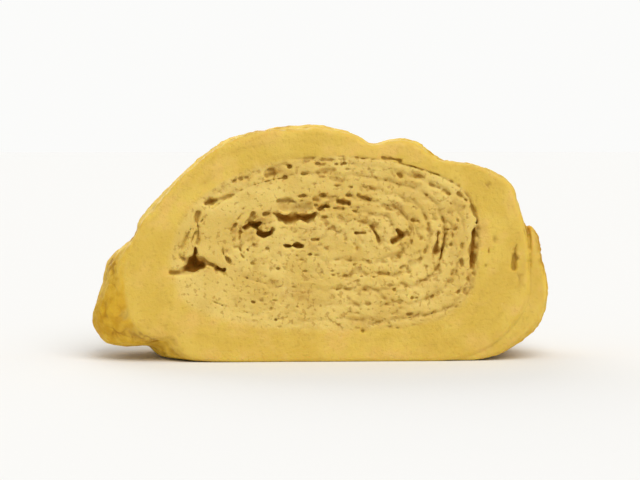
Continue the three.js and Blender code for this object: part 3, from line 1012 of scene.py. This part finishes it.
def skin_colour(n, fine, hollow_shade):
    """The fried outside: bright yellow, golden brown where it is more fried, with a brown net, and painted
    shade in creases and hollows.
    """
    specks = n.plus(n.times(n.noise(1.1, 4.0, 80), 0.6), n.times(n.noise(3.2, 2.0, 90), 0.4))
    speck = n.spread(specks, 0.38, 0.64)
    light = n.blend(speck, *LIGHT_SKIN)
    brown = n.blend(speck, *BROWN_SKIN)
    skin = n.blend(n.times(n.stored("fried"), 0.8), light, brown)
    net = n.times(n.stored("net"), n.spread(fine, 0.0, 1.0, 0.4, 0.8))
    skin = n.blend(net, skin, NET)
    less_by_cut = n.spread(n.stored("edge"), 0.0, 1.0, 0.5, 0.15)
    # Painted shade in creases and narrow gaps, with less of it by the cut.
    crease_shade = n.times(n.spread(n.stored("crease_shade"), 0.5, 0.62), less_by_cut)
    skin = n.blend(crease_shade, skin, CREASE_SHADE)
    # Painted shade in small hollows.
    skin = n.blend(n.times(hollow_shade, 0.3), skin, HOLLOW_SHADE_SKIN)
    by_cut = n.blend(speck, *SKIN_BY_CUT)
    return n.blend(n.times(n.stored("edge"), 0.85), skin, by_cut)


def make_egg_material():
    """The finish of the whole slice, crumb and skin, from the values stored on its mesh."""
    material = bpy.data.materials.new("egg")
    material.use_nodes = True
    n = Nodes(material)
    shader = material.node_tree.nodes["Principled BSDF"]
    fine = n.spread(n.noise(0.9, 3.0, 40), 0.35, 0.65)
    # How enclosed a point is, for painted shade in small hollows.
    hollow_shade = n.spread(n.stored("hollow_shade"), 0.53, 0.72)
    in_crumb = n.spread(n.stored("band"), 0.0, 1.0, 1.0, 0.3)
    # Pinholes: dots darkened as painted shade and sunk by the bump.
    pinholes = n.times(n.spread(n.noise(0.55, 1.0, 200), 0.58, 0.7), in_crumb)
    crumb = crumb_colour(n, fine, pinholes, hollow_shade)
    skin = skin_colour(n, fine, hollow_shade)
    n.give(shader.inputs["Base Color"], n.blend(n.stored("skin"), crumb, skin))
    rough = n.plus(n.spread(fine, 0.0, 1.0, 0.46, 0.6), n.times(n.stored("skin"), -0.14))
    n.give(shader.inputs["Roughness"], n.plus(rough, n.spread(n.stored("deep"), 0.3, 1.2, 0.0, 0.3)))
    shader.inputs["Specular IOR Level"].default_value = SHINE
    shader.inputs["Subsurface Weight"].default_value = GLOW
    shader.inputs["Subsurface Radius"].default_value = GLOW_REACH
    shader.inputs["Subsurface Scale"].default_value = GLOW_SIZE
    height = n.plus(n.noise(0.45, 3.0, 120), n.times(n.noise(0.16, 2.0, 160), 0.4))
    height = n.plus(height, n.times(pinholes, -0.6))
    bump = n.add("Bump", {"Height": height, "Strength": 0.5, "Distance": BUMP_HEIGHT})
    n.give(shader.inputs["Normal"], bump.outputs["Normal"])
    return material


egg = make_slice()
egg.data.materials.clear()
egg.data.materials.append(make_egg_material())
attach(egg, "root")
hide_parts(NODE)

# ---- the studio ------------------------------------------------------------------------------
LOW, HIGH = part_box(NODE)
CENTRE = (LOW + HIGH) / 2
FLOOR_COLOUR = (0.83, 0.83, 0.82)
FLOOR_HALF = 2
SKY_LIGHT = 0.56
# Large soft lamps: the light of each on a surface that faces it, and where it is, in degrees.
LAMPS = [
    {"name": "key", "azimuth": 20, "height": 50, "light": 0.58},
    {"name": "fill", "azimuth": 195, "height": 28, "light": 0.34},
]
LAMP_SPREAD = 50
LAMP_COLOUR = (1, 0.985, 0.96)
# The camera looks at the middle of the slice, nearly square on to its front cut.
CAMERA = {"azimuth": -3, "elevation": 3, "far": 0.29, "lens": 126}


def add_object(name, data):
    obj = bpy.data.objects.new(name, data)
    bpy.context.scene.collection.objects.link(obj)
    return obj


def direction(azimuth, elevation):
    """The way from the slice to a place this many degrees right of its front and this high."""
    a, e = math.radians(azimuth), math.radians(elevation)
    return Vector((math.sin(a) * math.cos(e), -math.cos(a) * math.cos(e), math.sin(e)))


def aim(obj, target):
    obj.rotation_euler = (target - obj.location).to_track_quat("-Z", "Y").to_euler()


def make_floor():
    """A plain pale matt floor, wide enough to have no edge in view."""
    material = bpy.data.materials.new("floor")
    material.use_nodes = True
    shader = material.node_tree.nodes["Principled BSDF"]
    shader.inputs["Base Color"].default_value = (*FLOOR_COLOUR, 1)
    shader.inputs["Roughness"].default_value = 1
    shader.inputs["Specular IOR Level"].default_value = 0
    mesh = bpy.data.meshes.new("floor")
    corners = [(i * FLOOR_HALF, j * FLOOR_HALF, 0) for i, j in ((-1, -1), (1, -1), (1, 1), (-1, 1))]
    mesh.from_pydata(corners, [], [(0, 1, 2, 3)])
    mesh.materials.append(material)
    add_object("floor", mesh)


def make_world():
    """Even soft light from all sides, and a backdrop that looks as pale as the lit floor."""
    world = bpy.data.worlds.new("studio")
    world.use_nodes = True
    tree = world.node_tree
    light = tree.nodes["Background"]
    light.inputs["Color"].default_value = (1, 1, 1, 1)
    light.inputs["Strength"].default_value = SKY_LIGHT
    backdrop = tree.nodes.new("ShaderNodeBackground")
    backdrop.inputs["Color"].default_value = (*FLOOR_COLOUR, 1)
    on_floor = SKY_LIGHT + sum(lamp["light"] * math.sin(math.radians(lamp["height"])) for lamp in LAMPS)
    backdrop.inputs["Strength"].default_value = on_floor
    rays = tree.nodes.new("ShaderNodeLightPath")
    either = tree.nodes.new("ShaderNodeMixShader")
    tree.links.new(rays.outputs["Is Camera Ray"], either.inputs["Fac"])
    tree.links.new(light.outputs["Background"], either.inputs[1])
    tree.links.new(backdrop.outputs["Background"], either.inputs[2])
    tree.links.new(either.outputs["Shader"], tree.nodes["World Output"].inputs["Surface"])
    bpy.context.scene.world = world


def add_lamp(lamp):
    data = bpy.data.lights.new(lamp["name"], "SUN")
    data.energy = math.pi * lamp["light"]
    data.angle = math.radians(LAMP_SPREAD)
    data.color = LAMP_COLOUR
    light = add_object(lamp["name"], data)
    light.location = CENTRE + direction(lamp["azimuth"], lamp["height"])
    aim(light, CENTRE)


def add_camera():
    data = bpy.data.cameras.new("camera")
    data.lens = CAMERA["lens"]
    camera = add_object("camera", data)
    camera.location = CENTRE + CAMERA["far"] * direction(CAMERA["azimuth"], CAMERA["elevation"])
    aim(camera, CENTRE)
    bpy.context.scene.camera = camera


make_floor()
make_world()
for lamp in LAMPS:
    add_lamp(lamp)
add_camera()
bpy.context.scene.view_settings.view_transform = "Standard"
